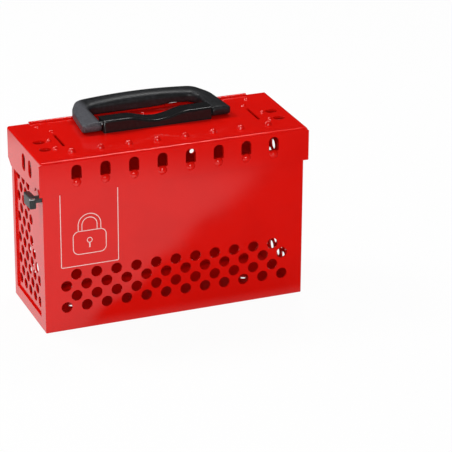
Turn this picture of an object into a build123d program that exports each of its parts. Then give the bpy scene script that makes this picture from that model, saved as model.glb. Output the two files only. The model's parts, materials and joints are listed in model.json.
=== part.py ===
"""Group lockout box: a folded sheet-metal box with a slotted hinged lid, a turn latch and a folding handle.

Millimetres. X runs along the front, Y to the rear, Z up. The origin is at the middle of the box's underside.
"""

import math
import os

from build123d import *

os.makedirs("parts", exist_ok=True)

# Sheet and box
sheet = 1.5
box_depth = 84.8
bend_radius = 0.8
floor_bend_radius = 0.6
rim_front = 12.0
rim_rear = 6.4
rim_bottom = 10.1

# Lid
lid_width = 229.4
lid_top = 149.5
lid_side_gap = 0.5
lid_front_gap = 1.0
lid_bend_radius = 1.6
lid_corner_radius = 0.4
skirt_front = 28.7
skirt_rear = 31.6
front_lap = 1.3
front_lap_drop = 2.4
front_lap_corner = 0.8
lid_overhang_rear = 2.5
skirt_cut_height = 5.0
skirt_cut_length = 8.0
cut_margin = 1.0

# Padlock slots along the front
slot_count = 8
slot_end_margin = 29.86
slot_width = 8.8
slot_length = 12.1
slot_low = 132.9
slot_corner = 1.0
slot_clearance = 0.4

# Padlock slots at each end: one in the skirt and one in the top for each padlock
end_slot_inset = 28.9
end_slot_pitch = 17.0
end_slot_width = 8.6
end_slot_length = 15.0
end_slot_height = 134.4
top_slot_width = 7.6
top_slot_length = 10.2
top_slot_edge = 13.3

# Key slots in the lid
key_slot_inset = 30.0
key_slot_width = 2.4
key_slot_length = 28.0
key_guard_drop = 14.0
key_guard_width = 9.0
key_guard_rivet_gap = 7.2
key_guard_front_lap = 1.0
key_guard_bend_gap = 2.0
key_guard_rear_lap = 1.0

# Raised pad under the handle
pad_key_gap = 7.7
pad_width = 41.5
pad_height = 1.6
pad_slope = 4.5
pad_corner = 5.0
pad_crest_corner = 4.0
pad_shift = 9.25

# Perforations of the front and rear walls
hole_radius = 4.7
hole_end_margin = 18.27
hole_row_low = 20.6
hole_row_pitch = 9.43
hole_rows = 4
long_row_count = 12

# Perforations of the end panels
end_hole_radius = 4.4
end_hole_pitch = 12.8
end_row_low = 20.0
end_row_pitch = 9.35
end_row_counts = (5, 4, 5, 4, 4, 3, 3, 3, 3, 3, 3)

# Mounting holes
floor_hole_radius = 2.8
floor_hole_spacing = 154.0
wall_hole_radius = 2.1
wall_hole_spacing = 92.0
wall_hole_height = 106.5

# Rivets
top_button_radius = 3.1
top_button_head = 2.9
front_button_radius = 3.8
front_button_head = 2.4
dish_radius = 5.8
dish_depth = 0.35
dish_taper = 75.0
top_button_place = 18.2
top_button_shift = 2.0
front_button_height = 129.9
end_button_edge = 21.6
small_head_radius = 2.2
small_head_height = 1.1
end_head_height = 1.7
shank_radius = 1.6
tail_radius = 2.3
tail_height = 1.0

# Stiffening bar under the lid
bar_width = 12.0
bar_thickness = 1.5
bar_end_margin = 2.4
bar_corner = 2.0
end_plate_margin = 5.0
end_plate_lip = 1.2
end_plate_thickness = 1.2

# Piano hinge
hinge_end_gap = 16.4
knuckle_radius = 2.1
hinge_pin_radius = 1.1
hinge_pin_chamfer = 0.3
hinge_running_gap = 0.05
leaf_thickness = 1.0
leaf_width = 13.0
knuckle_count = 13
knuckle_gap = 0.3
swing_gap = 0.3
hinge_rivet_count = 5
hinge_rivet_margin = 3.5
leaf_rivet_place = 7.6
knuckle_root = 1.0

# Handle
base_length = 94.4
base_width = 15.0
base_front_gap = 8.5
base_height = 10.4
base_dip = 4.6
base_dip_length = 56.0
base_rounding = 1.8
pivot_back = 6.7
pivot_rise = 5.9
arm_front_radius = 5.4
arm_gap = 0.6
grip_length = 58.8
arm_width_front = 17.0
arm_width_mid = 13.2
grip_rear_overhang = 4.2
grip_corner = 11.0
grip_shoulder = 24.0
grip_bar_width = 19.0
grip_lift = 0.8
grip_rise = 1.5
grip_arch = 4.5
grip_rounding = 2.6
finger_corner = 8.0
handle_pin_radius = 2.0
handle_pin_gap = 0.05
handle_pin_in_base = 9.0
handle_pin_in_arm = 5.0
handle_pin_end_gap = 0.5
handle_screw_radius = 2.0
handle_screw_grip = 4.0
handle_screw_head = 3.6
handle_screw_head_height = 2.4
handle_screw_chamfer = 0.6
washer_radius = 4.6
washer_thickness = 0.8
handle_screw_places = (-34.0, -14.0, 14.0, 34.0)

# Turn latch
latch_set_back = 4.6
latch_height = 117.3
latch_neck_radius = 3.0
latch_neck_length = 4.5
latch_stem_radius = 2.0
latch_stem_gap = 0.05
lever_thickness = 5.4
lever_front = 1.9
lever_rear = 15.5
lever_up = 2.8
lever_down = 7.6
lever_tilt = 4.0
lever_rounding = 1.2
cross_pin_radius = 0.9
cross_pin_set_in = 0.3
cross_pin_rise = 1.0
neck_clearance = 0.6
notch_radius = 5.3
notch_shift = 5.5
notch_rise = 1.9
sight_radius = 3.2
sight_shift = 6.3
sight_rise = 4.6
latch_washer_radius = 2.9
cam_thickness = 2.0
cam_hub_radius = 2.8
cam_side_gap = 0.4
hook_reach = 9.3
hook_band = 2.5
hook_gap = 0.3
hook_start = -48.0
hook_end = 8.0
hook_arm_end = -36.0
hook_arm_flare = 20.0
keeper_pin_radius = 1.5
keeper_pin_angle = 65.9
keeper_width = 8.0
keeper_edge = 2.2
keeper_foot = 10.0
keeper_hang = 3.0
keeper_gap = 2.0
latch_screw_head = 2.6
latch_screw_head_height = 1.8
latch_screw_radius = 1.2
latch_screw_length = 5.0

# Places worked out from the sizes above
box_width = lid_width - 2 * (sheet + lid_side_gap)
box_height = lid_top - sheet - leaf_thickness - swing_gap
front_face = -box_depth / 2
rear_face = box_depth / 2
side_face = box_width / 2
lid_rear = rear_face + lid_overhang_rear
lid_front = front_face - lid_front_gap - sheet
lid_depth = lid_rear - lid_front
lid_middle = (lid_front + lid_rear) / 2
lid_under = lid_top - sheet
window_front = front_face + rim_front
window_rear = rear_face - rim_rear
hinge_y = rear_face + knuckle_radius
hinge_z = lid_under - leaf_thickness + knuckle_radius
slot_pitch = (lid_width - 2 * slot_end_margin) / (slot_count - 1)
slot_places = [slot_pitch * (i - (slot_count - 1) / 2) for i in range(slot_count)]
hole_pitch = (box_width - 2 * hole_end_margin) / (long_row_count - 1)
end_slot_places = [lid_front + end_slot_inset + end_slot_pitch, lid_front + end_slot_inset]
key_slot_place = lid_width / 2 - key_slot_inset
pad_length = 2 * (key_slot_place - pad_key_gap)
pad_centre = lid_middle + pad_shift
base_front = pad_centre - pad_width / 2 + base_front_gap
bar_length = 2 * (slot_places[-1] + bar_end_margin)
slot_middle = slot_low + slot_length / 2
hinge_length = box_width - 2 * hinge_end_gap
hinge_rivet_pitch = (hinge_length - 2 * hinge_rivet_margin) / (hinge_rivet_count - 1)
pad_top = lid_top + pad_height
pad_under = pad_top - sheet
button_y = lid_front + top_button_place
top_button_places = [x + top_button_shift for x in slot_places]
front_wall = Plane(origin=(0, 0, 0), x_dir=(1, 0, 0), z_dir=(0, -1, 0))
end_wall = Plane(origin=(0, 0, 0), x_dir=(0, 1, 0), z_dir=(1, 0, 0))


def finish(part, name):
    """Label one sub-part and write it."""
    part.label = name
    export_step(part, f"parts/{name}.step")


def shackle_slots(clearance):
    """Draw the front slots with the given clearance: round at the top and square at the bottom."""
    with Locations(*[(x, slot_low - clearance) for x in slot_places]):
        RectangleRounded(
            slot_width + 2 * clearance, slot_length / 2, slot_corner, align=(Align.CENTER, Align.MIN)
        )
    with Locations(*[(x, slot_middle) for x in slot_places]):
        SlotOverall(slot_length + 2 * clearance, slot_width + 2 * clearance, rotation=90)


def perforated_rows():
    """Places of the staggered holes on the front and rear walls, as (x, z)."""
    places = []
    for row in range(hole_rows):
        count = long_row_count - (row % 2)
        height = hole_row_low + row * hole_row_pitch
        places += [(hole_pitch * (i - (count - 1) / 2), height) for i in range(count)]
    return places


def end_panel_rows():
    """Places of the staggered holes on an end panel, as (y, z), counted from the rear."""
    middle = (window_front + window_rear) / 2
    places = []
    for row, count in enumerate(end_row_counts):
        rearmost = middle + end_hole_pitch * (2 if row % 2 == 0 else 1.5)
        height = end_row_low + row * end_row_pitch
        places += [(rearmost - i * end_hole_pitch, height) for i in range(count)]
    return places


# Body: front wall, floor and rear wall folded from one sheet, with a rim turned in at both ends
with BuildPart() as box_wrap:
    with BuildSketch(Plane.XY) as footprint:
        RectangleRounded(box_width, box_depth, bend_radius)
    extrude(amount=box_height)
    fillet(box_wrap.faces().sort_by(Axis.Z)[0].edges(), radius=floor_bend_radius)
    with BuildSketch(Plane.XY.offset(sheet)) as cavity:
        Rectangle(box_width - 2 * sheet, box_depth - 2 * sheet)
    extrude(amount=box_height, mode=Mode.SUBTRACT)
    with BuildSketch(end_wall) as window:
        with Locations(((window_front + window_rear) / 2, rim_bottom)):
            Rectangle(window_rear - window_front, box_height, align=(Align.CENTER, Align.MIN))
    extrude(amount=box_width, both=True, mode=Mode.SUBTRACT)
    with BuildSketch(front_wall) as perforations:
        with Locations(*perforated_rows()):
            Circle(hole_radius)
    extrude(amount=box_depth, both=True, mode=Mode.SUBTRACT)
    with BuildSketch(front_wall) as wall_slots:
        shackle_slots(slot_clearance)
    extrude(amount=box_depth, mode=Mode.SUBTRACT)
    with BuildSketch(front_wall) as wall_screws:
        with Locations((-wall_hole_spacing / 2, wall_hole_height), (wall_hole_spacing / 2, wall_hole_height)):
            Circle(wall_hole_radius)
    extrude(amount=-box_depth, mode=Mode.SUBTRACT)
    with Locations((-floor_hole_spacing / 2, 0, sheet), (floor_hole_spacing / 2, 0, sheet)):
        Hole(floor_hole_radius, depth=2 * sheet)

latch_y = front_face + latch_set_back
# the stem's bore and a sight hole beside it, through the rim and the left end panel
with BuildPart() as latch_hole_cutter:
    with BuildSketch(end_wall.offset(-side_face - sheet)) as latch_holes:
        with Locations((latch_y, latch_height)):
            Circle(latch_stem_radius + latch_stem_gap)
        with Locations((latch_y + sight_shift, latch_height + sight_rise)):
            Circle(sight_radius)
    extrude(amount=4 * sheet)
hinge_rivet_places = [hinge_rivet_pitch * (i - (hinge_rivet_count - 1) / 2) for i in range(hinge_rivet_count)]
body_rivet_height = box_height - leaf_rivet_place
with BuildPart() as body_rivet_holes:
    with BuildSketch(Plane(origin=(0, rear_face - 2 * sheet, 0), x_dir=(1, 0, 0), z_dir=(0, 1, 0))) as bores:
        with Locations(*[(x, -body_rivet_height) for x in hinge_rivet_places]):
            Circle(shank_radius)
    extrude(amount=4 * sheet)
with BuildPart() as body_shell:
    add(box_wrap.part)
    add(latch_hole_cutter.part, mode=Mode.SUBTRACT)
    add(body_rivet_holes.part, mode=Mode.SUBTRACT)
finish(body_shell.part, "body_shell")

# Perforated end panels, welded behind the rims
panel_rear = rear_face - sheet - swing_gap
panel_front = window_front - latch_washer_radius
for side, panel_name in ((-1, "end_panel_left"), (1, "end_panel_right")):
    with BuildPart() as end_panel:
        outer = side * (side_face - sheet)
        with BuildSketch(end_wall.offset(outer)) as outline:
            with Locations(((panel_front + panel_rear) / 2, sheet)):
                Rectangle(panel_rear - panel_front, box_height - sheet, align=(Align.CENTER, Align.MIN))
            with Locations(*end_panel_rows()):
                Circle(end_hole_radius, mode=Mode.SUBTRACT)
            with Locations(*[(y, end_slot_height) for y in end_slot_places]):
                SlotOverall(end_slot_length, end_slot_width + slot_clearance, rotation=90, mode=Mode.SUBTRACT)
        extrude(amount=-side * sheet)
        add(latch_hole_cutter.part, mode=Mode.SUBTRACT)
    finish(end_panel.part, panel_name)

# Lid: top, front skirt and two end skirts folded from one sheet, open at the rear
pad_foot = (pad_length, pad_width)
pad_crest = (pad_length - 2 * pad_slope, pad_width - 2 * pad_slope)
with BuildPart() as lid_shell:
    with BuildSketch(Plane.XY.offset(lid_top)) as lid_outline:
        with Locations((0, lid_middle)):
            Rectangle(lid_width, lid_depth)
    extrude(amount=-skirt_rear)
    front_corners = lid_shell.edges().filter_by(Axis.Z).group_by(Axis.Y)[0]
    fillet(front_corners, radius=lid_corner_radius)
    top_bends = lid_shell.faces().sort_by(Axis.Z)[-1].edges().sort_by(Axis.Y)[:-1]
    fillet(top_bends, radius=lid_bend_radius)
    with BuildSketch(Plane.XY.offset(lid_under)) as lid_cavity:
        with Locations((0, lid_front + sheet)):
            Rectangle(lid_width - 2 * sheet, lid_depth, align=(Align.CENTER, Align.MIN))
    extrude(amount=-skirt_rear, mode=Mode.SUBTRACT)
    # the front skirt laps past the front edge of both end skirts
    with BuildSketch(front_wall.offset(-lid_front)) as front_lap_plate:
        with Locations((0, lid_top - front_lap_drop)):
            RectangleRounded(
                lid_width + 2 * front_lap,
                skirt_rear - front_lap_drop,
                front_lap_corner,
                align=(Align.CENTER, Align.MAX),
            )
    extrude(amount=-sheet)
    # the lower edge falls to the rear, and the rear lower corners are cut at a slant
    with BuildSketch(end_wall) as skirt_cut:
        with BuildLine():
            Polyline(
                (lid_front - cut_margin, lid_top - skirt_front),
                (lid_front + sheet, lid_top - skirt_front),
                (lid_rear - skirt_cut_length, lid_top - skirt_rear),
                (lid_rear, lid_top - skirt_rear + skirt_cut_height),
                (lid_rear + cut_margin, lid_top - skirt_rear + skirt_cut_height),
                (lid_rear + cut_margin, lid_top - skirt_rear - cut_margin),
                (lid_front - cut_margin, lid_top - skirt_rear - cut_margin),
                close=True,
            )
        make_face()
    extrude(amount=lid_width, both=True, mode=Mode.SUBTRACT)
    # notch in the left skirt for the neck of the latch
    with BuildSketch(end_wall) as latch_notch:
        with Locations((latch_y, latch_height)):
            Circle(latch_neck_radius + neck_clearance)
        with Locations((latch_y + notch_shift, latch_height + notch_rise)):
            Circle(notch_radius)
    extrude(amount=-lid_width / 2, mode=Mode.SUBTRACT)
    # the top sheet stops short of the hinge barrel
    with BuildSketch(Plane.XY.offset(lid_top)) as hinge_relief:
        with Locations((0, rear_face - swing_gap)):
            Rectangle(hinge_length + 2 * swing_gap, lid_depth, align=(Align.CENTER, Align.MIN))
    extrude(amount=-sheet * 2, mode=Mode.SUBTRACT)
    # raised pad for the handle
    with BuildSketch(Plane.XY.offset(lid_top)) as pad_low:
        with Locations((0, pad_centre)):
            RectangleRounded(*pad_foot, pad_corner)
    with BuildSketch(Plane.XY.offset(pad_top)) as pad_high:
        with Locations((0, pad_centre)):
            RectangleRounded(*pad_crest, pad_crest_corner)
    loft()
    with BuildSketch(Plane.XY.offset(lid_under)) as hollow_low:
        with Locations((0, pad_centre)):
            RectangleRounded(pad_foot[0] - sheet, pad_foot[1] - sheet, pad_corner)
    with BuildSketch(Plane.XY.offset(pad_under)) as hollow_high:
        with Locations((0, pad_centre)):
            RectangleRounded(pad_crest[0] - sheet, pad_crest[1] - sheet, pad_crest_corner)
    loft(mode=Mode.SUBTRACT)
    with BuildSketch(front_wall.offset(-lid_front + sheet)) as front_slots:
        shackle_slots(0)
        with Locations(*[(x, front_button_height) for x in slot_places]):
            Circle(shank_radius)
    extrude(amount=-3 * sheet, mode=Mode.SUBTRACT)
    with BuildSketch(end_wall) as end_slots:
        with Locations(*[(y, end_slot_height) for y in end_slot_places]):
            SlotOverall(end_slot_length, end_slot_width, rotation=90)
    extrude(amount=lid_width, both=True, mode=Mode.SUBTRACT)
    top_slot_x = lid_width / 2 - top_slot_edge
    end_button_x = lid_width / 2 - end_button_edge
    key_rivet_y = lid_middle + key_slot_length / 2 + key_guard_rivet_gap
    with BuildSketch(Plane.XY.offset(lid_top)) as dishes:
        with Locations(*[(x, button_y) for x in top_button_places]):
            Circle(dish_radius)
    extrude(amount=-dish_depth, taper=dish_taper, mode=Mode.SUBTRACT)
    with BuildSketch(Plane.XY.offset(lid_top + cut_margin)) as top_cuts:
        with Locations(*[(side * top_slot_x, y) for side in (-1, 1) for y in end_slot_places]):
            SlotOverall(top_slot_length, top_slot_width)
        with Locations(*[(side * end_button_x, y) for side in (-1, 1) for y in end_slot_places]):
            Circle(shank_radius)
        with Locations((-key_slot_place, lid_middle), (key_slot_place, lid_middle)):
            SlotOverall(key_slot_length, key_slot_width, rotation=90)
        with Locations((-key_slot_place, key_rivet_y), (key_slot_place, key_rivet_y)):
            Circle(shank_radius)
        with Locations(*[(x, button_y) for x in top_button_places]):
            Circle(shank_radius)
        with Locations(*[(x, rear_face - leaf_rivet_place) for x in hinge_rivet_places]):
            Circle(shank_radius)
    extrude(amount=-3 * sheet, mode=Mode.SUBTRACT)
    screw_y = base_front + base_width / 2
    with BuildSketch(Plane.XY.offset(pad_top + cut_margin)) as handle_screw_holes:
        with Locations(*[(x, screw_y) for x in handle_screw_places]):
            Circle(handle_screw_radius)
    extrude(amount=-3 * sheet, mode=Mode.SUBTRACT)
finish(lid_shell.part, "lid_shell")


def rivet_group(name, places, head_radius, head_height, depth, tail=True):
    """Write equal domed rivets as one node: a cap, a shank through what it holds and a flat tail."""
    cap_radius = (head_radius**2 + head_height**2) / (2 * head_height)
    edge_angle = math.asin(min(1, head_radius / cap_radius)) / 2
    half_way = (
        cap_radius * math.sin(edge_angle),
        head_height - cap_radius + cap_radius * math.cos(edge_angle),
    )
    with BuildPart() as rivet:
        with BuildSketch(Plane.XZ) as half_section:
            with BuildLine():
                Polyline(
                    (0, head_height), (0, -depth), (shank_radius, -depth), (shank_radius, 0), (head_radius, 0)
                )
                ThreePointArc((head_radius, 0), half_way, (0, head_height))
            make_face()
            if tail:
                with Locations((0, -depth)):
                    Rectangle(tail_radius, tail_height, align=(Align.MIN, Align.MAX))
        revolve(axis=Axis.Z)
    finish(Compound(children=[rivet.part.solid().moved(place) for place in places]), name)


# Rivets of the lid top: they clamp the stiffening bar along the front and a plate at each end
top_places = [Location((x, button_y, lid_top - dish_depth)) for x in top_button_places]
rivet_group("bar_rivets", top_places, top_button_radius, top_button_head + dish_depth,
            sheet - dish_depth + bar_thickness)
end_places = [Location((side * end_button_x, y, lid_top)) for side in (-1, 1) for y in end_slot_places]
rivet_group("end_plate_rivets", end_places, small_head_radius, end_head_height,
            sheet + end_plate_thickness)
front_places = [Location((x, lid_front, front_button_height), (90, 0, 0)) for x in slot_places]
rivet_group("front_buttons", front_places, front_button_radius, front_button_head, sheet, tail=False)
key_rivet_places = [Location((side * key_slot_place, key_rivet_y, lid_top)) for side in (-1, 1)]
leaf_grip = sheet + leaf_thickness
rivet_group("key_guard_rivets", key_rivet_places, small_head_radius, small_head_height, leaf_grip)
lid_leaf_places = [Location((x, rear_face - leaf_rivet_place, lid_top)) for x in hinge_rivet_places]
rivet_group("lid_hinge_rivets", lid_leaf_places, small_head_radius, small_head_height, leaf_grip)
leaf_face = rear_face + leaf_thickness
rear_places = [Location((x, leaf_face, body_rivet_height), (-90, 0, 0)) for x in hinge_rivet_places]
rivet_group("body_hinge_rivets", rear_places, small_head_radius, small_head_height, leaf_grip)

# Stiffening bar under the front of the lid
with BuildPart() as lid_bar:
    with BuildSketch(Plane.XY.offset(lid_under)) as bar_outline:
        with Locations((top_button_shift, button_y)):
            Rectangle(bar_length, bar_width)
        with Locations(*[(x, button_y) for x in top_button_places]):
            Circle(shank_radius, mode=Mode.SUBTRACT)
    extrude(amount=-bar_thickness)
    fillet(lid_bar.edges().filter_by(Axis.Z).filter_by(GeomType.LINE).sort_by(Axis.X)[:2], radius=bar_corner)
    fillet(lid_bar.edges().filter_by(Axis.Z).filter_by(GeomType.LINE).sort_by(Axis.X)[-2:], radius=bar_corner)
finish(lid_bar.part, "lid_bar")

# Plate under each end of the lid, round the two top slots
end_plate_depth = end_slot_pitch + top_slot_width + 2 * end_plate_margin
end_plate_centre = sum(end_slot_places) / 2
plate_outer = side_face - 2 * sheet - swing_gap
plate_inner = end_button_x - tail_radius - end_plate_lip
for side, plate_name in ((-1, "end_plate_left"), (1, "end_plate_right")):
    with BuildPart() as end_plate:
        with BuildSketch(Plane.XY.offset(lid_under)) as plate_outline:
            with Locations((side * (plate_outer + plate_inner) / 2, end_plate_centre)):
                Rectangle(plate_outer - plate_inner, end_plate_depth)
            with Locations(*[(side * top_slot_x, y) for y in end_slot_places]):
                SlotOverall(top_slot_length, top_slot_width, mode=Mode.SUBTRACT)
            with Locations(*[(side * end_button_x, y) for y in end_slot_places]):
                Circle(shank_radius, mode=Mode.SUBTRACT)
        extrude(amount=-end_plate_thickness)
    finish(end_plate.part, plate_name)

# Guard under each key slot: a bent strip that lets a key slide in and keeps fingers and wire out
for side, guard_name in ((-1, "key_guard_left"), (1, "key_guard_right")):
    with BuildPart() as key_guard:
        with BuildSketch(end_wall.offset(side * key_slot_place - key_guard_width / 2)) as strip:
            with BuildLine():
                front_end = lid_middle - key_slot_length / 2 - key_guard_front_lap
                rear_end = key_rivet_y + tail_radius + key_guard_rear_lap
                bend = lid_middle + key_slot_length / 2 + key_guard_bend_gap
                Polyline(
                    (rear_end, lid_under),
                    (bend, lid_under),
                    (front_end, lid_under - key_guard_drop),
                    (front_end, lid_under - key_guard_drop - leaf_thickness),
                    (bend + leaf_thickness, lid_under - leaf_thickness),
                    (rear_end, lid_under - leaf_thickness),
                    close=True,
                )
            make_face()
        extrude(amount=key_guard_width)
        with Locations((side * key_slot_place, key_rivet_y, lid_under)):
            Hole(shank_radius, depth=2 * leaf_thickness)
    finish(key_guard.part, guard_name)

# Piano hinge: the body leaf carries the odd knuckles and the lid leaf the even ones
knuckle_pitch = hinge_length / knuckle_count
hinge_line = Plane(origin=(-hinge_length / 2, 0, 0), x_dir=(0, 1, 0), z_dir=(1, 0, 0))


def knuckles(first):
    """Sketch planes and lengths of every second knuckle, starting at the given one."""
    for i in range(first, knuckle_count, 2):
        yield hinge_line.offset(i * knuckle_pitch + knuckle_gap / 2), knuckle_pitch - knuckle_gap


with BuildPart() as body_leaf:
    with BuildSketch(hinge_line) as leaf_profile:
        with Locations((rear_face, box_height)):
            Rectangle(leaf_thickness, leaf_width, align=(Align.MIN, Align.MAX))
    extrude(amount=hinge_length)
    for plane, length in knuckles(0):
        with BuildSketch(plane) as knuckle:
            with Locations((hinge_y, hinge_z)):
                Circle(knuckle_radius)
            with Locations((rear_face, box_height - knuckle_root)):
                Rectangle(leaf_thickness, hinge_z - box_height + knuckle_root, align=(Align.MIN, Align.MIN))
            with Locations((hinge_y, hinge_z)):
                Circle(hinge_pin_radius + hinge_running_gap, mode=Mode.SUBTRACT)
        extrude(amount=length)
    add(body_rivet_holes.part, mode=Mode.SUBTRACT)
finish(body_leaf.part, "body_hinge_leaf")

with BuildPart() as lid_leaf:
    with BuildSketch(hinge_line) as leaf_profile:
        with Locations((rear_face - swing_gap, lid_under)):
            Rectangle(leaf_width, leaf_thickness, align=(Align.MAX, Align.MAX))
    extrude(amount=hinge_length)
    for plane, length in knuckles(1):
        with BuildSketch(plane) as knuckle:
            with Locations((hinge_y, hinge_z)):
                Circle(knuckle_radius)
            with Locations((rear_face - swing_gap - knuckle_root, lid_under)):
                root_width = hinge_y - rear_face + swing_gap + knuckle_root
                Rectangle(root_width, leaf_thickness, align=(Align.MIN, Align.MAX))
            with Locations((hinge_y, hinge_z)):
                Circle(hinge_pin_radius + hinge_running_gap, mode=Mode.SUBTRACT)
        extrude(amount=length)
    with Locations(*[(x, rear_face - leaf_rivet_place, lid_under) for x in hinge_rivet_places]):
        Hole(shank_radius, depth=2 * leaf_thickness)
finish(lid_leaf.part, "lid_hinge_leaf")

with BuildPart() as hinge_pin:
    with BuildSketch(hinge_line) as pin_section:
        with Locations((hinge_y, hinge_z)):
            Circle(hinge_pin_radius)
    extrude(amount=hinge_length)
    chamfer(hinge_pin.edges().filter_by(GeomType.CIRCLE), length=hinge_pin_chamfer)
finish(hinge_pin.part, "hinge_pin")

# Handle base, with a dip in the middle for the fingers
base_top = pad_top + base_height
half_base = base_length / 2
half_dip = base_dip_length / 2
with BuildPart() as handle_base:
    with BuildSketch(front_wall.offset(-base_front)) as base_profile:
        with BuildLine():
            Polyline(
                (-half_dip, base_top),
                (-half_base, base_top),
                (-half_base, pad_top),
                (half_base, pad_top),
                (half_base, base_top),
                (half_dip, base_top),
            )
            Spline(
                (half_dip, base_top),
                (half_dip / 2, base_top - base_dip / 2),
                (0, base_top - base_dip),
                (-half_dip / 2, base_top - base_dip / 2),
                (-half_dip, base_top),
                tangents=((-1, 0), (-1, 0)),
            )
        make_face()
    extrude(amount=-base_width)
    top_edges = handle_base.faces().filter_by(Axis.Y).sort_by(Axis.Y)
    fillet(top_edges[0].edges().sort_by(Axis.Z)[1:], radius=base_rounding)
    fillet(top_edges[-1].edges().sort_by(Axis.Z)[1:], radius=base_rounding)
    pivot_y = base_front + pivot_back
    pivot_z = pad_top + pivot_rise
    for side in (-1, 1):
        with BuildSketch(end_wall.offset(side * half_base)) as pin_bore:
            with Locations((pivot_y, pivot_z)):
                Circle(handle_pin_radius)
        extrude(amount=-side * handle_pin_in_base, mode=Mode.SUBTRACT)
    with BuildSketch(Plane.XY.offset(pad_top)) as screw_bores:
        with Locations(*[(x, screw_y) for x in handle_screw_places]):
            Circle(handle_screw_radius)
    extrude(amount=handle_screw_grip, mode=Mode.SUBTRACT)
finish(handle_base.part, "handle_base")

# Screws and washers that hold the handle base from inside the lid
with BuildPart() as screw_group:
    with BuildSketch(Plane.XY.offset(pad_top + handle_screw_grip)) as screw_shanks:
        with Locations(*[(x, screw_y) for x in handle_screw_places]):
            Circle(handle_screw_radius)
    extrude(amount=-(handle_screw_grip + sheet + washer_thickness))
    with BuildSketch(Plane.XY.offset(pad_under - washer_thickness)) as screw_heads:
        with Locations(*[(x, screw_y) for x in handle_screw_places]):
            Circle(handle_screw_head)
    extrude(amount=-handle_screw_head_height)
    chamfer(screw_group.faces().group_by(Axis.Z)[0].edges(), length=handle_screw_chamfer)
finish(screw_group.part, "handle_screws")

with BuildPart() as washer_group:
    with BuildSketch(Plane.XY.offset(pad_under)) as washer_rings:
        with Locations(*[(x, screw_y) for x in handle_screw_places]):
            Circle(washer_radius)
            Circle(handle_screw_radius, mode=Mode.SUBTRACT)
    extrude(amount=-washer_thickness)
finish(washer_group.part, "handle_washers")

# Folding grip: two arms and a bar, moulded in one
arm_front = pivot_y - arm_front_radius
grip_rear = arm_front + grip_length
bar_front = grip_rear - grip_bar_width
inner_half = half_base + arm_gap
grip_span_front = 2 * (inner_half + arm_width_front)
grip_span_mid = 2 * (inner_half + arm_width_mid)
grip_span_rear = 2 * (inner_half + grip_rear_overhang)
grip_low = pivot_z - arm_front_radius
grip_top = pivot_z + arm_front_radius + grip_rise
with BuildPart() as handle_grip:
    with BuildSketch(Plane.XY.offset(grip_low)) as plan:
        with BuildLine():
            Polyline(
                (-grip_span_front / 2, arm_front),
                (grip_span_front / 2, arm_front),
                (grip_span_mid / 2, bar_front),
                (grip_span_rear / 2, grip_rear),
                (-grip_span_rear / 2, grip_rear),
                (-grip_span_mid / 2, bar_front),
                close=True,
            )
        make_face()
        fillet(plan.vertices().group_by(Axis.Y)[1], radius=grip_shoulder)
        fillet(plan.vertices().group_by(Axis.Y)[-1], radius=grip_corner)
        with Locations((0, bar_front)):
            Rectangle(2 * inner_half, lid_depth, align=(Align.CENTER, Align.MAX), mode=Mode.SUBTRACT)
        inner_corners = [(side * inner_half, bar_front, grip_low) for side in (-1, 1)]
        fillet([plan.vertices().sort_by_distance(corner)[0] for corner in inner_corners], radius=finger_corner)
    extrude(amount=grip_top - grip_low)
    # side view: a round nose about the pivot and an underside lifted off the lid
    with BuildSketch(end_wall) as side_view:
        with BuildLine():
            Polyline(
                (pivot_y, grip_low),
                (pivot_y + arm_front_radius, grip_low),
                (bar_front - finger_corner, grip_low + grip_lift),
                (grip_rear + cut_margin, grip_low + grip_lift),
                (grip_rear + cut_margin, grip_top + cut_margin),
                (pivot_y, grip_top + cut_margin),
                (pivot_y, pivot_z + arm_front_radius),
            )
            ThreePointArc(
                (pivot_y, pivot_z + arm_front_radius),
                (pivot_y - arm_front_radius, pivot_z),
                (pivot_y, grip_low),
            )
        make_face()
    extrude(amount=grip_span_front, both=True, mode=Mode.INTERSECT)
    # front view: the top is arched from side to side
    with BuildSketch(front_wall.offset(-arm_front)) as front_view:
        with BuildLine():
            Polyline(
                (grip_span_front / 2, grip_top - grip_arch),
                (grip_span_front / 2, grip_low - cut_margin),
                (-grip_span_front / 2, grip_low - cut_margin),
                (-grip_span_front / 2, grip_top - grip_arch),
            )
            ThreePointArc(
                (-grip_span_front / 2, grip_top - grip_arch),
                (0, grip_top),
                (grip_span_front / 2, grip_top - grip_arch),
            )
        make_face()
    extrude(amount=-grip_length, mode=Mode.INTERSECT)
    arched_top = handle_grip.faces().sort_by(SortBy.AREA)[-1]
    fillet(arched_top.edges(), radius=grip_rounding)
    for side in (-1, 1):
        with BuildSketch(end_wall.offset(side * inner_half)) as arm_bore:
            with Locations((pivot_y, pivot_z)):
                Circle(handle_pin_radius + handle_pin_gap)
        extrude(amount=side * (handle_pin_in_arm + handle_pin_end_gap), mode=Mode.SUBTRACT)
finish(handle_grip.part, "handle_grip")

# Pivot pins, one at each end of the base
with BuildPart() as handle_pins:
    for side in (-1, 1):
        with BuildSketch(end_wall.offset(side * (half_base - handle_pin_in_base))) as pin_section:
            with Locations((pivot_y, pivot_z)):
                Circle(handle_pin_radius)
        extrude(amount=side * (handle_pin_in_base + arm_gap + handle_pin_in_arm))
finish(handle_pins.part, "handle_pins")

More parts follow.
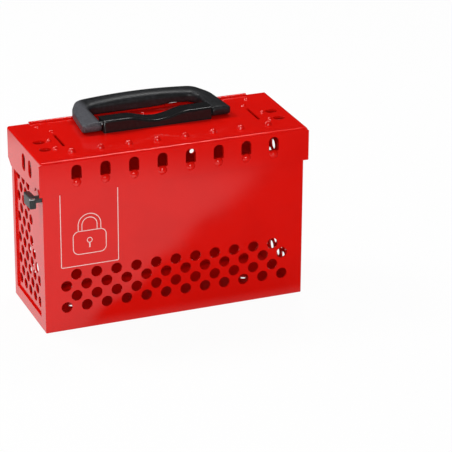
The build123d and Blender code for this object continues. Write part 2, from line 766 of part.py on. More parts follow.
# Turn latch on the left end: a lever outside, a hook inside
latch_stem_end = -side_face + 2 * sheet + cam_side_gap + cam_thickness
with BuildPart() as latch_lever:
    with BuildSketch(end_wall.offset(-side_face - latch_neck_length)) as lever_face:
        with Locations(Location((latch_y, latch_height), -lever_tilt)):
            with Locations((-lever_front, -lever_down)):
                Rectangle(lever_front + lever_rear, lever_up + lever_down, align=(Align.MIN, Align.MIN))
    extrude(amount=-lever_thickness)
    fillet(latch_lever.edges(), radius=lever_rounding)
    with BuildSketch(end_wall.offset(-side_face - latch_neck_length - lever_rounding)) as neck:
        with Locations((latch_y, latch_height)):
            Circle(latch_neck_radius)
    extrude(amount=latch_neck_length + lever_rounding - latch_stem_gap)
    with BuildSketch(end_wall.offset(-side_face - latch_neck_length)) as stem:
        with Locations((latch_y, latch_height)):
            Circle(latch_stem_radius)
    extrude(amount=latch_stem_end + side_face + latch_neck_length)
    with BuildSketch(end_wall.offset(latch_stem_end)) as stem_bore:
        with Locations((latch_y, latch_height)):
            Circle(latch_screw_radius)
    extrude(amount=-latch_screw_length, mode=Mode.SUBTRACT)
    cross_pin_place = (latch_y - lever_front + cross_pin_set_in, latch_height + cross_pin_rise)
    with BuildSketch(end_wall.offset(-side_face - latch_neck_length - lever_thickness)) as cross_bore:
        with Locations(cross_pin_place):
            Circle(cross_pin_radius)
    extrude(amount=lever_thickness, mode=Mode.SUBTRACT)
finish(latch_lever.part, "latch_lever")

# Steel pin across the front of the lever
with BuildPart() as cross_pin:
    with BuildSketch(end_wall.offset(-side_face - latch_neck_length - lever_thickness)) as cross_pin_section:
        with Locations(cross_pin_place):
            Circle(cross_pin_radius)
    extrude(amount=lever_thickness)
finish(cross_pin.part, "latch_cross_pin")

with BuildPart() as latch_washer:
    with BuildSketch(end_wall.offset(-side_face + sheet)) as washer_ring:
        with Locations((latch_y, latch_height)):
            Circle(latch_washer_radius)
            Circle(latch_stem_radius + latch_stem_gap, mode=Mode.SUBTRACT)
    extrude(amount=sheet + cam_side_gap - latch_stem_gap)
finish(latch_washer.part, "latch_washer")


def on_latch(radius, degrees):
    """A point of the hook, as (y, z), from its distance and angle about the latch axis."""
    turn = math.radians(degrees)
    return latch_y + radius * math.cos(turn), latch_height + radius * math.sin(turn)


hook_inner = hook_reach + keeper_pin_radius + hook_gap
hook_outer = hook_inner + hook_band
hook_middle = (hook_start + hook_end) / 2
with BuildPart() as latch_hook:
    with BuildSketch(end_wall.offset(latch_stem_end - cam_thickness)) as hook_face:
        with BuildLine():
            ThreePointArc(
                on_latch(hook_outer, hook_start),
                on_latch(hook_outer, hook_middle),
                on_latch(hook_outer, hook_end),
            )
            Line(on_latch(hook_outer, hook_end), on_latch(hook_inner, hook_end))
            ThreePointArc(
                on_latch(hook_inner, hook_end),
                on_latch(hook_inner, (hook_end + hook_arm_end) / 2),
                on_latch(hook_inner, hook_arm_end),
            )
            Polyline(
                on_latch(hook_inner, hook_arm_end),
                on_latch(latch_stem_radius, hook_arm_end + hook_arm_flare),
                on_latch(latch_stem_radius, hook_start - hook_arm_flare),
                on_latch(hook_outer, hook_start),
            )
        make_face()
        with Locations((latch_y, latch_height)):
            Circle(cam_hub_radius)
            Circle(latch_stem_radius, mode=Mode.SUBTRACT)
    extrude(amount=cam_thickness)
finish(latch_hook.part, "latch_hook")

with BuildPart() as latch_screw:
    with BuildSketch(end_wall.offset(latch_stem_end)) as screw_head:
        with Locations((latch_y, latch_height)):
            Circle(latch_screw_head)
    extrude(amount=latch_screw_head_height)
    with BuildSketch(end_wall.offset(latch_stem_end)) as screw_shank:
        with Locations((latch_y, latch_height)):
            Circle(latch_screw_radius)
    extrude(amount=-latch_screw_length)
finish(latch_screw.part, "latch_screw")

# Keeper under the lid: a hanging plate with a pin that the hook catches
pin_y, pin_z = on_latch(hook_reach, keeper_pin_angle)
keeper_x = latch_stem_end + keeper_gap
keeper_front = pin_y - keeper_edge
with BuildPart() as latch_keeper:
    with BuildSketch(end_wall.offset(keeper_x)) as keeper_plate:
        with Locations((keeper_front, pin_z - keeper_hang)):
            Rectangle(keeper_width, lid_under - pin_z + keeper_hang, align=(Align.MIN, Align.MIN))
        with Locations((pin_y, pin_z)):
            Circle(keeper_pin_radius, mode=Mode.SUBTRACT)
    extrude(amount=sheet)
    with BuildSketch(end_wall.offset(keeper_x)) as keeper_foot_end:
        with Locations((keeper_front, lid_under)):
            Rectangle(keeper_width, sheet, align=(Align.MIN, Align.MAX))
    extrude(amount=keeper_foot)
finish(latch_keeper.part, "latch_keeper")

with BuildPart() as keeper_pin:
    with BuildSketch(end_wall.offset(keeper_x + sheet)) as keeper_pin_section:
        with Locations((pin_y, pin_z)):
            Circle(keeper_pin_radius)
    extrude(amount=-(sheet + keeper_gap + cam_thickness))
finish(keeper_pin.part, "keeper_pin")
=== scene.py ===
"""Looks of the group lockout box: red powder coat, black moulded handle, plated steel, and the light it stands in.

Metres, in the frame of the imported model. Sizes named *_mm are millimetres, and so are those of the grip and of the
print.
"""

import json
import math

import bmesh
import bpy
import numpy as np
from mathutils import Matrix, Vector


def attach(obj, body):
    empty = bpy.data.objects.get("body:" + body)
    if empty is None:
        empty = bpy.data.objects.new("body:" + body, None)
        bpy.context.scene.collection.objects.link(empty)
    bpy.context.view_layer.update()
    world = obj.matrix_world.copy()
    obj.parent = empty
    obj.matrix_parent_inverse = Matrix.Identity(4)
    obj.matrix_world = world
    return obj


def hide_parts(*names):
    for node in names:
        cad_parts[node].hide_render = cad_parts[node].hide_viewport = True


MM = 0.001

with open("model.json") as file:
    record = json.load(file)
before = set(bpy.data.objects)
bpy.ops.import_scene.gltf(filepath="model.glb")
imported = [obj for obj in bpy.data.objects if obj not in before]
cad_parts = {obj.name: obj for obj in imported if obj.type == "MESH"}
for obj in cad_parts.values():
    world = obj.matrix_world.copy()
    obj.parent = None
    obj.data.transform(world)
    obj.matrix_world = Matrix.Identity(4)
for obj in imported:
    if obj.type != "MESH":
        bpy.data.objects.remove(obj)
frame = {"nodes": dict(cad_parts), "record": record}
nodes = frame["nodes"]
body_of_node = {node: body for body, held in frame["record"]["behaviour"]["bodies"].items() for node in held}
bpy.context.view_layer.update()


# Shader maths


class Value:
    """A shader socket in Python arithmetic: each operator adds one Math node."""

    def __init__(self, shader, socket):
        self.shader, self.socket = shader, socket

    def _math(self, operation, *terms):
        return self.shader.node("ShaderNodeMath", {"operation": operation}, *terms)[0]

    def __add__(self, other):
        return self._math("ADD", self, other)

    __radd__ = __add__

    def __sub__(self, other):
        return self._math("SUBTRACT", self, other)

    def __rsub__(self, other):
        return self._math("SUBTRACT", other, self)

    def __mul__(self, other):
        return self._math("MULTIPLY", self, other)

    __rmul__ = __mul__

    def __pow__(self, other):
        return self._math("POWER", self, other)

    def at_least(self, other):
        return self._math("MAXIMUM", self, other)

    def step(self, low, high):
        """0 below low and 1 above high, with a smooth rise between."""
        return self.shader.node(
            "ShaderNodeMapRange", {"interpolation_type": "SMOOTHSTEP"}, self, low, high, 0.0, 1.0
        )[0]


class Shader:
    """A node tree under construction. node() adds any node and returns its outputs as Values."""

    def __init__(self, tree):
        self.tree = tree

    def node(self, kind, settings, *values, output=None, **named):
        """Adds a node: its settings, then its inputs by place or by name. Gives all its outputs, or the one named."""
        made = self.tree.nodes.new(kind)
        for key, setting in settings.items():
            setattr(made, key, setting)
        sockets = [s for s in made.inputs if s.enabled]
        pairs = list(zip(sockets, values))
        pairs += [(made.inputs[name.replace("_", " ")], value) for name, value in named.items()]
        for socket, value in pairs:
            if isinstance(value, Value):
                self.tree.links.new(value.socket, socket)
            elif value is not None:
                socket.default_value = value
        if output is not None:
            return Value(self, made.outputs[output])
        return [Value(self, s) for s in made.outputs if s.enabled]

    def seen_directly(self):
        """1 for rays from the camera and for those that a gloss or a glass sends on, else 0."""
        path = self.tree.nodes.new("ShaderNodeLightPath")
        rays = ("Is Camera Ray", "Is Glossy Ray", "Is Transmission Ray")
        camera, glossy, through = [Value(self, path.outputs[ray]) for ray in rays]
        return camera.at_least(glossy).at_least(through)


class Finish(Shader):
    """One material: a principled surface whose varying inputs are set from Values."""

    def __init__(self, name, **constants):
        self.material = bpy.data.materials.new(name)
        self.material.use_nodes = True
        super().__init__(self.material.node_tree)
        self.surface = self.tree.nodes["Principled BSDF"]
        for socket, value in constants.items():
            self.surface.inputs[socket.replace("_", " ")].default_value = value
        self.place = self.node("ShaderNodeTexCoord", {}, output="Object")

    def noise(self, cell_mm, detail=2.0, roughness=0.5, stretch=(1, 1, 1)):
        """Soft noise whose cells are about cell_mm across, from 0 to 1."""
        scaled = self.node(
            "ShaderNodeMapping", {"vector_type": "POINT"}, Vector=self.place, Scale=stretch, output="Vector"
        )
        return self.node(
            "ShaderNodeTexNoise", {}, Vector=scaled, Scale=1 / (cell_mm * MM), Detail=detail, Roughness=roughness,
            output="Fac",
        )

    def cells(self, cell_mm):
        """Distance to the nearest cell centre of a Voronoi pattern, in cells."""
        return self.node(
            "ShaderNodeTexVoronoi", {"feature": "F1"}, Vector=self.place, Scale=1 / (cell_mm * MM), output="Distance"
        )

    def blend(self, factor, first, second):
        """Colour between two colours."""
        made = self.tree.nodes.new("ShaderNodeMix")
        made.data_type = "RGBA"
        ends = {"Factor": factor, "A": first, "B": second}
        for socket in [s for s in made.inputs if s.enabled]:
            value = ends[socket.name]
            if isinstance(value, Value):
                self.tree.links.new(value.socket, socket)
            else:
                socket.default_value = value if socket.name == "Factor" else (*value, 1.0)
        return Value(self, next(s for s in made.outputs if s.enabled))

    def bump(self, height, depth_mm, under=None):
        """Normal of a relief of the given depth."""
        return self.node(
            "ShaderNodeBump", {}, Strength=1.0, Distance=depth_mm * MM, Height=height, Normal=under, output="Normal"
        )

    def mixed_with(self, factor, other):
        """The surface with another shader laid over it by the factor."""
        mixed = self.node("ShaderNodeMixShader", {}, factor, Value(self, self.surface.outputs[0]), other)[0]
        self.tree.links.new(mixed.socket, self.tree.nodes["Material Output"].inputs["Surface"])
        return self.material

    def set(self, **links):
        """Feeds Values into the surface's inputs, and gives the material."""
        for socket, value in links.items():
            self.tree.links.new(value.socket, self.surface.inputs[socket.replace("_", " ")])
        return self.material


# Finishes

coat_red = (0.72, 0.0050, 0.0022)
coat_red_deep = (0.68, 0.0044, 0.0019)
coat_roughness = 0.09
tone_cell_mm, peel_cell_mm, dulling_cell_mm, speck_cell_mm = 38, 1.6, 9, 0.35
sheet_wave_cell_mm, sheet_wave_mm = 70, 0.30
# x limits, in metres, of the painted sheen on the grip's left arm: it is full left of the first and gone right of the
# second.
sheen_full_x, sheen_fade_end_x = -0.053, -0.0465


def powder_coat(name, red=coat_red, deep=coat_red_deep, gloss=1.43, peel_mm=0.0035):
    """Glossy red powder coat: fine orange peel, a faint wave of the sheet and slight shifts of tone."""
    finish = Finish(name, IOR=gloss)
    tone = finish.noise(tone_cell_mm, detail=3.0)
    peel = finish.noise(peel_cell_mm, detail=1.0)
    wave = finish.noise(sheet_wave_cell_mm, detail=1.0)
    speck = finish.noise(speck_cell_mm, detail=0.0)
    return finish.set(
        Base_Color=finish.blend(tone.step(0.35, 0.7), red, deep),
        Roughness=coat_roughness + 0.05 * finish.noise(dulling_cell_mm) + 0.03 * speck,
        Normal=finish.bump(peel, peel_mm, finish.bump(wave, sheet_wave_mm)),
    )


def plated_steel(name, colour, roughness):
    """Bright plated steel: fine drawn lines and cloudy patches of dulling."""
    finish = Finish(name, Metallic=1.0)
    drawn = finish.noise(0.25, detail=2.0, stretch=(0.06, 1, 1))
    cloud = finish.noise(6, detail=3.0)
    return finish.set(
        Base_Color=finish.blend(cloud.step(0.3, 0.75), colour, tuple(0.82 * c for c in colour)),
        Roughness=roughness + 0.10 * cloud + 0.06 * drawn,
        Normal=finish.bump(drawn, 0.004),
    )


def moulded_plastic(name, colour, pale, roughness, grain_mm, grain_depth_mm, mottle=0.25, painted_sheen_colour=None):
    """Black moulded plastic: spark grain in pits, mottled sheen, and a painted sheen on one arm.

    The optional paler colour is painted in speckles over the top of the arm at the left. It is a painted sheen
    standing for light falling from the left.
    """
    finish = Finish(name, IOR=1.40)
    pits = finish.cells(grain_mm)
    patch = finish.noise(3.2, detail=4.0, roughness=0.65)
    tone = finish.blend(patch.step(0.42, 0.72), colour, pale)
    if painted_sheen_colour:
        # Painted sheen: a paler speckled colour over the top of the left arm stands for the sheen that light from the
        # left gives it. It fades out towards the middle.
        x, _, _ = finish.node("ShaderNodeSeparateXYZ", {}, finish.place)
        speckle = finish.noise(1.1, detail=2.0).step(0.25, 0.8)
        painted_sheen_mask = 1.0 - x.step(sheen_full_x, sheen_fade_end_x)
        tone = finish.blend(painted_sheen_mask * (0.3 + 0.7 * speckle), tone, painted_sheen_colour)
    return finish.set(
        Base_Color=tone,
        Roughness=roughness + mottle * (patch - 0.5) + 0.06 * pits,
        Normal=finish.bump(pits, grain_depth_mm),
    )


def screen_ink(name):
    """Thin white screen ink: slightly uneven cover over the red, and a satin face."""
    finish = Finish(name, IOR=1.45)
    cover = finish.noise(0.9, detail=3.0)
    return finish.set(
        Base_Color=finish.blend(cover.step(0.25, 0.75), (0.80, 0.56, 0.53), (0.86, 0.74, 0.72)),
        Roughness=0.42 + 0.15 * cover,
        Normal=finish.bump(cover, 0.004),
    )


red_box = powder_coat("red_coat_box")
red_inside = powder_coat("red_coat_inside", (0.58, 0.0045, 0.0020), (0.50, 0.0040, 0.0018))
red_head = powder_coat("red_coat_heads", gloss=1.75, peel_mm=0.0008)
red_button = powder_coat("red_coat_buttons", gloss=1.50, peel_mm=0.0008)
zinc = plated_steel("zinc_plate", (0.62, 0.62, 0.60), roughness=0.30)
pin_steel = plated_steel("drawn_pin_steel", (0.66, 0.66, 0.66), roughness=0.20)
# The last colour given here is a painted sheen on the top of the grip's left arm.
grip_black = moulded_plastic(
    "grip_plastic", (0.011, 0.0115, 0.0125), (0.020, 0.021, 0.025),
    roughness=0.38, grain_mm=0.55, grain_depth_mm=0.05, painted_sheen_colour=(0.120, 0.122, 0.138),
)
base_black = moulded_plastic(
    "base_plastic", (0.010, 0.010, 0.0105), (0.014, 0.014, 0.015),
    roughness=0.20, grain_mm=0.45, grain_depth_mm=0.006, mottle=0.10,
)
lever_black = moulded_plastic(
    "lever_plastic", (0.030, 0.032, 0.032), (0.060, 0.062, 0.062),
    roughness=0.36, grain_mm=0.5, grain_depth_mm=0.03,
)
print_ink = screen_ink("screen_ink")

slot_finish = {
    "box_paint": red_box, "end_panel_paint": red_box, "lid_paint": red_box, "hinge_paint": red_box,
    "rivet_paint": red_head, "inner_paint": red_inside, "inner_steel": zinc, "screw_steel": zinc,
    "pin_steel": pin_steel, "grip_plastic": grip_black, "base_plastic": base_black, "lever_plastic": lever_black,
}
node_finish = {"front_buttons": red_button}
node_slot = {row["node"]: row["material_slot"] for row in frame["record"]["subparts"]}

# Sheet metal and fittings from the CAD solids

flat_angle = math.radians(0.4)
edge_angle = math.radians(32)
weld_distance = 0.002 * MM
sheet_edge_mm = {
    "body_shell": 0.22, "lid_shell": 0.22, "end_panel_left": 0.18, "end_panel_right": 0.18,
    "body_hinge_leaf": 0.12, "lid_hinge_leaf": 0.12, "lid_bar": 0.15, "end_plate_left": 0.15,
    "end_plate_right": 0.15, "key_guard_left": 0.12, "key_guard_right": 0.12, "latch_hook": 0.15,
    "latch_keeper": 0.15,
}


def placed(name, data):
    """An object for a mesh, a lamp or a camera, at the origin and in the scene."""
    made = bpy.data.objects.new(name, data)
    bpy.context.scene.collection.objects.link(made)
    return made


def coated_copy(node):
    """A welded copy of a CAD solid with its flat faces joined, its cut edges softened and its bends smooth."""
    mesh = nodes[node].data.copy()
    mesh.name = node + "_skin"
    work = bmesh.new()
    work.from_mesh(mesh)
    bmesh.ops.remove_doubles(work, verts=work.verts, dist=weld_distance)
    bmesh.ops.dissolve_limit(work, angle_limit=flat_angle, verts=work.verts, edges=work.edges)
    work.to_mesh(mesh)
    work.free()
    mesh.shade_smooth()
    mesh.set_sharp_from_angle(angle=edge_angle)
    piece = placed(node + "_skin", mesh)
    if node in sheet_edge_mm:
        edge = piece.modifiers.new("softened_edges", "BEVEL")
        edge.width = sheet_edge_mm[node] * MM
        edge.segments = 2
        edge.limit_method = "ANGLE"
        edge.angle_limit = edge_angle
        edge.use_clamp_overlap = True
        edge.miter_outer = "MITER_ARC"
    level = piece.modifiers.new("flat_faces", "WEIGHTED_NORMAL")
    level.keep_sharp = True
    mesh.materials.clear()
    mesh.materials.append(node_finish.get(node, slot_finish[node_slot[node]]))
    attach(piece, body_of_node[node])
    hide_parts(node)


shaped_here = {"handle_grip"}
for node in sorted(set(nodes) - shaped_here):
    coated_copy(node)


# Surfaces worked out on a grid


def quads_between(first, second):
    """Faces from each row of point numbers to its next row, each row closing on itself."""
    return np.stack([first, np.roll(first, -1, 1), np.roll(second, -1, 1), second], -1).reshape(-1, 4).tolist()


def ring_piece(name, points_mm, finish, ends="closed"):
    """A closed skin over rings of points that follow each other along a piece: (rings, points round, 3).

    ends is closed where the last ring meets the first, drawn where each end ring is drawn together to a line by its
    own points, and flat where it gets a face. Doubles are merged and normals turned outwards.
    """
    rings, around, _ = points_mm.shape
    index = np.arange(rings * around).reshape(rings, around)
    first, second = (index, np.roll(index, -1, axis=0)) if ends == "closed" else (index[:-1], index[1:])
    faces = quads_between(first, second)
    if ends == "flat":
        faces += [index[0].tolist(), index[-1].tolist()]
    mesh = bpy.data.meshes.new(name)
    mesh.from_pydata((points_mm.reshape(-1, 3) * MM).tolist(), [], faces)
    work = bmesh.new()
    work.from_mesh(mesh)
    bmesh.ops.remove_doubles(work, verts=work.verts, dist=weld_distance)
    bmesh.ops.recalc_face_normals(work, faces=work.faces)
    work.to_mesh(mesh)
    work.free()
    mesh.shade_smooth()
    mesh.set_sharp_from_angle(angle=edge_angle)
    mesh.materials.append(finish)
    return placed(name, mesh)


# Folding grip

grip_pivot = (3.7, 157.0)
grip_nose_radius = 5.4
grip_inner_half = 47.8
grip_rear = 57.1
grip_bar_front = 38.1
grip_finger_radius = 8.0
grip_front_half, grip_mid_half, grip_rear_half = 64.8, 61.0, 52.0
grip_shoulder_radius, grip_corner_radius = 24.0, 11.0
grip_crest = 163.9
grip_arch = 0.00108
grip_arm_low, grip_bar_low = 151.6, 151.7
grip_arm_section, grip_bar_section = 5.0, 2.8
grip_finger_section, grip_under_section = 2.6, 7.0
grip_hollow, grip_hollow_place, grip_hollow_length, grip_hollow_margin = 1.7, 28.0, 11.0, 0.5
grip_nose_corner, grip_nose_inner_share = 3.2, 0.35
rings_bar, rings_bend, rings_arm, rings_nose = 26, 29, 17, 21
points_round_grip = 80


def straight(start, end, count=12):
    """Points from start to end at equal steps."""
    return np.linspace(start, end, count)


def corner_curve(before, corner, after, radius):
    """Parabola that touches both sides of a corner where an arc of the radius would."""
    before, corner, after = (np.array(p, float) for p in (before, corner, after))
    to_before = (before - corner) / np.linalg.norm(before - corner)
    to_after = (after - corner) / np.linalg.norm(after - corner)
    half = 0.5 * math.acos(float(to_before @ to_after))
    reach = radius / math.tan(half)
    t = np.linspace(0, 1, 24)[:, None]
    start, end = corner + reach * to_before, corner + reach * to_after
    return (1 - t) ** 2 * start + 2 * t * (1 - t) * corner + t**2 * end


def smooth_lower(first, second, width=0.3):
    """The lower of two heights, with the crease between them rounded."""
    return 0.5 * (first + second - np.sqrt((first - second) ** 2 + width**2))


def half_grip():
    """Rings of the right half of the grip, from the middle of the bar to the nose of the arm.

    In plan each ring spans from the finger side to the outer side: straight across the bar, on rays from the
    centre of the finger corner round the bend, and straight across the arm. The section is a superellipse whose
    power is low over the fingers, where it is round, higher on the outside of the arm and highest underneath. Its
    top follows an arch, crest less arch times x squared, and its ends follow a circle about the pivot.
    """
    front = grip_pivot[0] - grip_nose_radius
    corners = [
        (0, grip_rear), (grip_rear_half, grip_rear), (grip_mid_half, grip_bar_front), (grip_front_half, front),
    ]
    rear_bend = corner_curve(*corners[0:3], grip_corner_radius)
    shoulder = corner_curve(*corners[1:4], grip_shoulder_radius)
    outer = np.vstack([
        straight(corners[0], rear_bend[0], 80)[:-1], rear_bend,
        straight(rear_bend[-1], shoulder[0], 20)[1:-1], shoulder,
        straight(shoulder[-1], corners[3], 60)[1:],
    ])
    centre = np.array([grip_inner_half - grip_finger_radius, grip_bar_front - grip_finger_radius])

    across_bar = np.linspace(0, centre[0], rings_bar)
    bar_inner = np.stack([across_bar, np.full_like(across_bar, grip_bar_front)], 1)
    bar_outer = np.stack([across_bar, np.full_like(across_bar, grip_rear)], 1)

    turn = np.linspace(math.pi / 2, 0, rings_bend + 1)[1:]
    ray = np.stack([np.cos(turn), np.sin(turn)], 1)
    away = outer - centre
    outer_turn = np.arctan2(away[:, 1], away[:, 0])
    reach = np.interp(-turn, -outer_turn, np.linalg.norm(away, axis=1))
    bend_inner = centre + grip_finger_radius * ray
    bend_outer = centre + reach[:, None] * ray

    to_pivot = np.linspace(centre[1], grip_pivot[0], rings_arm + 1)[1:]
    nose_turn = np.linspace(0, math.pi / 2, rings_nose + 1)[1:]
    round_nose = grip_pivot[0] - grip_nose_radius * np.sin(nose_turn)
    y = np.concatenate([to_pivot, round_nose])
    corner_in = np.clip(grip_nose_corner - (y - front), 0, grip_nose_corner)
    set_back = grip_nose_corner - np.sqrt(grip_nose_corner**2 - corner_in**2)
    outer_x = np.interp(-y, -outer[:, 1], outer[:, 0]) - set_back
    arm_inner = np.stack([grip_inner_half + grip_nose_inner_share * set_back, y], 1)
    arm_outer = np.stack([outer_x, y], 1)

    inner = np.vstack([bar_inner, bend_inner, arm_inner])
    outer = np.vstack([bar_outer, bend_outer, arm_outer])
    along = np.concatenate([np.zeros(rings_bar), np.linspace(0, 1, rings_bend), np.ones(len(arm_inner))])
    ease = along**2 * (3 - 2 * along)
    outer_power = grip_bar_section + (grip_arm_section - grip_bar_section) * ease[:, None]

    turn = np.linspace(0, 2 * math.pi, points_round_grip, endpoint=False)[None, :]
    outward, upward = np.cos(turn), np.sin(turn)
    power = np.where(upward < 0, grip_under_section, np.where(outward < 0, grip_finger_section, outer_power))
    out = np.sign(outward) * np.abs(outward) ** (2 / power)
    up = np.sign(upward) * np.abs(upward) ** (2 / power)
    middle, half = (inner + outer) / 2, (outer - inner) / 2
    plan = middle[:, None, :] + half[:, None, :] * out[:, :, None]
    x, y = plan[..., 0], plan[..., 1]
    nose = np.sqrt(np.clip(grip_nose_radius**2 - np.clip(grip_pivot[0] - y, 0, None) ** 2, 0, None))
    free_top = grip_crest - grip_arch * x**2 - grip_pivot[1]
    top = np.where(y < grip_pivot[0], np.clip(smooth_lower(free_top, nose), 0, None), free_top)
    nose_end = grip_pivot[0] + grip_nose_radius
    lift = np.clip((y - nose_end) / (centre[1] - nose_end), 0, 1)
    low = grip_pivot[1] - grip_arm_low - (grip_bar_low - grip_arm_low) * lift
    low = np.minimum(low, nose)
    z = grip_pivot[1] + np.where(up > 0, up * top, up * low)
    return np.stack([x, y, z], -1)


def with_hollow(points):
    """The points of the grip, those of the bar's underside raised by a bell curve along x, exp(-square)."""
    x, y, z = np.moveaxis(points, -1, 0)
    under_bar = (z < grip_pivot[1]) & (y > grip_bar_front - grip_hollow_margin)
    share_down = (grip_pivot[1] - z) / (grip_pivot[1] - grip_bar_low)
    bell = grip_hollow * np.exp(-(((x - grip_hollow_place) / grip_hollow_length) ** 2))
    return np.stack([x, y, z + np.where(under_bar, share_down * bell, 0)], -1)


right_half = half_grip()
left_half = right_half * np.array([-1, 1, 1])
grip_points = with_hollow(np.concatenate([left_half[::-1], right_half[1:]]))
grip = ring_piece("grip_skin", grip_points, grip_black, ends="drawn")
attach(grip, "handle")
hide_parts("handle_grip")

# Print on the front wall: a thin frame, and the plain outline of a padlock

print_face = -42.4
print_raise = 0.04
print_set_in = 0.06
print_line = 0.6
frame_left, frame_right, frame_low, frame_top = -98.45, -49.8, 56.0, 124.0
frame_corner, frame_corner_room = 1.2, 2.0
lock_x, lock_low, lock_high = (frame_left + frame_right) / 2, 66.0, 86.0
lock_half, lock_corner = 14.0, 5.0
shackle_outer, shackle_inner, shackle_leg = 9.6, 6.4, 5.0
shackle_start_degrees = 3
keyhole_height, keyhole_radius = 77.5, 2.1
keyway_top, keyway_low, keyway_width = 75.3, 71.1, 1.0


def printed_line(name, path, width=print_line, closed=True):
    """A flat bead on the front wall: half the width to either side of a path of (x, z) points, square to its run."""
    path = np.array(path, float)
    if closed:
        run = np.roll(path, -1, 0) - np.roll(path, 1, 0)
    else:
        run = np.gradient(path, axis=0)
    across = np.stack([-run[:, 1], run[:, 0]], 1) / np.linalg.norm(run, axis=1)[:, None] * width / 2
    sides = np.stack([path - across, path + across, path + across, path - across], 1)
    depth = print_face + np.array([print_set_in, print_set_in, -print_raise, -print_raise])
    rings = np.stack([sides[..., 0], np.broadcast_to(depth, sides.shape[:2]), sides[..., 1]], -1)
    piece = ring_piece(name, rings, print_ink, ends="closed" if closed else "flat")
    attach(piece, "box")


def arc(centre, radius, start_degrees, end_degrees, count=40):
    """Points of a circular arc, anticlockwise where the end angle is the larger."""
    turn = np.radians(np.linspace(start_degrees, end_degrees, count))
    return np.array(centre) + radius * np.stack([np.cos(turn), np.sin(turn)], 1)


left_top, right_top = (frame_left, frame_top), (frame_right, frame_top)
left_foot, right_foot = (frame_left, frame_low), (frame_right, frame_low)
printed_line("print_frame", np.vstack([
    straight(left_top, (frame_left, frame_low + frame_corner_room)),
    corner_curve(left_top, left_foot, right_foot, frame_corner),
    straight((frame_left + frame_corner_room, frame_low), (frame_right - frame_corner_room, frame_low)),
    corner_curve(left_foot, right_foot, right_top, frame_corner),
    straight((frame_right, frame_low + frame_corner_room), right_top),
]), closed=False)

corner_x = lock_half - lock_corner
corner_low, corner_high = lock_low + lock_corner, lock_high - lock_corner
printed_line("print_lock_body", np.vstack([
    arc((lock_x + x, z), lock_corner, start, start + 90, 16)
    for x, z, start in ((corner_x, corner_high, 0), (-corner_x, corner_high, 90),
                        (-corner_x, corner_low, 180), (corner_x, corner_low, 270))
]))
bow_height = lock_high + shackle_leg
for name, radius in (("print_shackle_outer", shackle_outer), ("print_shackle_inner", shackle_inner)):
    printed_line(name, np.vstack([
        straight((lock_x + radius, lock_high), (lock_x + radius, bow_height)),
        arc((lock_x, bow_height), radius, shackle_start_degrees, 180 - shackle_start_degrees),
        straight((lock_x - radius, bow_height), (lock_x - radius, lock_high)),
    ]), closed=False)
printed_line("print_keyhole", arc((lock_x, keyhole_height), keyhole_radius, 0, 351))
printed_line("print_keyway", straight((lock_x, keyway_top), (lock_x, keyway_low)), keyway_width, closed=False)

# Floor, light and camera

view_azimuth = -21.92
view_elevation = 23.31
view_roll = 0.35
view_distance = 1.980
view_target = Vector((0.06114, 0.0, 0.05156))
sensor_mm = 36.0
focal_px = 2343.35
picture_px = 452
white_share = 0.95
fill_strength = 0.38
floor_half = 6.0
canopy_radius = 4.5
canopy_low_degrees = 1
flag_y, flag_left, flag_right, flag_low, flag_high = 2.0, -2.5, 3.0, 0.02, 1.2
floor_cloth_half, floor_cloth_height = 3.0, 0.001
patch_centre = (-0.08, 0.02)
patch_fade = (0.36, 0.47)
line_point = (0.035, -0.141)
line_normal = (0.695, 0.719)
line_fade = (-0.018, -0.004)
line_wave, line_wave_cell_mm = 0.035, 80
front_fade = (0.03, 0.06)


def stage_sheet(name, points, material, faces=None):
    """A sheet of the stage: flat through its corners in order, or with the faces given."""
    mesh = bpy.data.meshes.new(name)
    mesh.from_pydata([tuple(p) for p in points], [], faces or [tuple(range(len(points)))])
    mesh.materials.append(material)
    sheet = placed(name, mesh)
    return sheet


def level_square(half, height):
    """Corners of a level square about the origin."""
    return [(-half, -half, height), (half, -half, height), (half, half, height), (-half, half, height)]


def floor_finish():
    """White sweep paper: mostly plain white as seen, and the rest takes the object's shadow."""
    finish = Finish("floor_paper", Roughness=0.9, Base_Color=(0.86, 0.86, 0.86, 1), Specular_IOR_Level=0.0)
    white = finish.node("ShaderNodeEmission", {}, Strength=1.0)[0]
    return finish.mixed_with(finish.seen_directly() * white_share, white)


stage_sheet("floor", level_square(floor_half, 0), floor_finish())


def only_reflected(sheet):
    """Hides a part of the stage from everything but reflections."""
    sheet.visible_camera = sheet.visible_diffuse = sheet.visible_shadow = sheet.visible_transmission = False


def canopy(cloth):
    """Black tent over the set, seen only in reflections: a sphere from a low elevation up to its top."""
    turn = np.linspace(0, 2 * math.pi, 49)[None, :-1]
    rise = np.radians(np.linspace(canopy_low_degrees, 90, 13))[:, None]
    across = canopy_radius * np.cos(rise)
    height = canopy_radius * np.sin(rise) + 0 * turn
    points = np.stack([across * np.cos(turn), across * np.sin(turn), height], -1).reshape(-1, 3)
    index = np.arange(points.shape[0]).reshape(rise.size, turn.size)
    only_reflected(stage_sheet("canopy", points, cloth, quads_between(index[:-1], index[1:])))


def floor_cloth():
    """Black cloth round a bright patch of the floor, with soft borders.

    The patch fades with the distance from its centre, and in front of the box past a slanting line that waves a
    little.
    """
    finish = Finish("floor_cloth", Roughness=1.0, Base_Color=(0.012, 0.004, 0.004, 1), Specular_IOR_Level=0.0)
    x, y, _ = finish.node("ShaderNodeSeparateXYZ", {}, finish.place)
    wave = line_wave * (finish.noise(line_wave_cell_mm, detail=1.0) - 0.5)
    past_line = line_normal[0] * (x - line_point[0]) + line_normal[1] * (y - line_point[1]) + wave
    across, along = x - patch_centre[0], y - patch_centre[1]
    away = (across * across + along * along) ** 0.5
    in_front = (0.0 - y).step(*front_fade)
    dark = away.step(*patch_fade).at_least(past_line.step(*line_fade) * in_front)
    clear = finish.node("ShaderNodeBsdfTransparent", {})[0]
    return finish.mixed_with(1.0 - dark, clear)


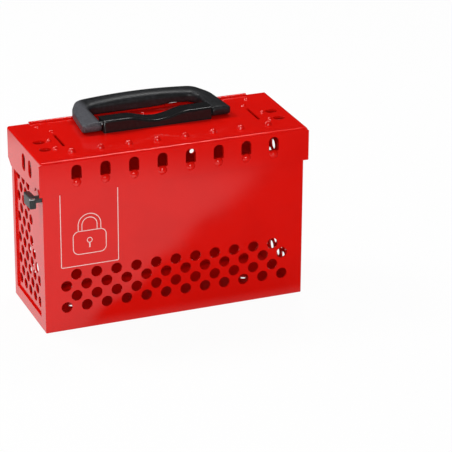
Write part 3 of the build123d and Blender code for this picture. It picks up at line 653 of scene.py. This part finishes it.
black_cloth = Finish("black_cloth", Roughness=1.0, Base_Color=(0.02, 0.02, 0.02, 1), Specular_IOR_Level=0.0).material
flag_corners = [
    (flag_left, flag_y, flag_low), (flag_right, flag_y, flag_low),
    (flag_right, flag_y, flag_high), (flag_left, flag_y, flag_high),
]
only_reflected(stage_sheet("flag_behind", flag_corners, black_cloth))
canopy(black_cloth)
only_reflected(stage_sheet("flag_floor", level_square(floor_cloth_half, floor_cloth_height), floor_cloth()))


def soft_box(name, direction, distance, width, height, radiance):
    """An area lamp of the given size and brightness, looking at the object from a direction and a distance."""
    lamp = bpy.data.lights.new(name, "AREA")
    lamp.shape = "RECTANGLE"
    lamp.size, lamp.size_y = width, height
    lamp.energy = radiance * math.pi * width * height
    holder = placed(name, lamp)
    toward = Vector(direction).normalized()
    holder.location = object_middle + toward * distance
    holder.rotation_euler = (-toward).to_track_quat("-Z", "Y").to_euler()
    holder.visible_camera = False


object_middle = Vector((0.0, 0.0, 0.10))
soft_box("soft_box_overhead", (0.29, 0.40, 0.86), distance=1.3, width=0.32, height=0.34, radiance=14.0)
soft_box("soft_box_key", (-0.45, 0.42, 0.78), distance=1.3, width=0.40, height=0.36, radiance=14.0)
soft_box("soft_box_front", (-0.28, -0.88, 0.38), distance=1.8, width=0.75, height=0.62, radiance=9.5)
soft_box("card_left", (-0.42, 0.15, -0.096), distance=0.456, width=0.60, height=1.1, radiance=0.46)

world = bpy.data.worlds.new("studio")
bpy.context.scene.world = world
world.use_nodes = True
sky = Shader(world.node_tree)
background = world.node_tree.nodes["Background"]
background.inputs["Color"].default_value = (1, 1, 1, 1)
sky_strength = fill_strength + (1.0 - fill_strength) * sky.seen_directly()
world.node_tree.links.new(sky_strength.socket, background.inputs["Strength"])

azimuth, elevation = math.radians(view_azimuth), math.radians(view_elevation)
level = math.cos(elevation)
back = Vector((math.sin(azimuth) * level, -math.cos(azimuth) * level, math.sin(elevation)))
camera = placed("camera", bpy.data.cameras.new("camera"))
camera.data.sensor_width = sensor_mm
camera.data.lens = focal_px / picture_px * sensor_mm
camera.location = view_target + back * view_distance
turned = (-back).to_track_quat("-Z", "Y").to_matrix() @ Matrix.Rotation(math.radians(view_roll), 3, "Z")
camera.rotation_euler = turned.to_euler()
camera.data.clip_start, camera.data.clip_end = 0.05, 50.0
bpy.context.scene.camera = camera

bpy.context.scene.view_settings.view_transform = "Standard"
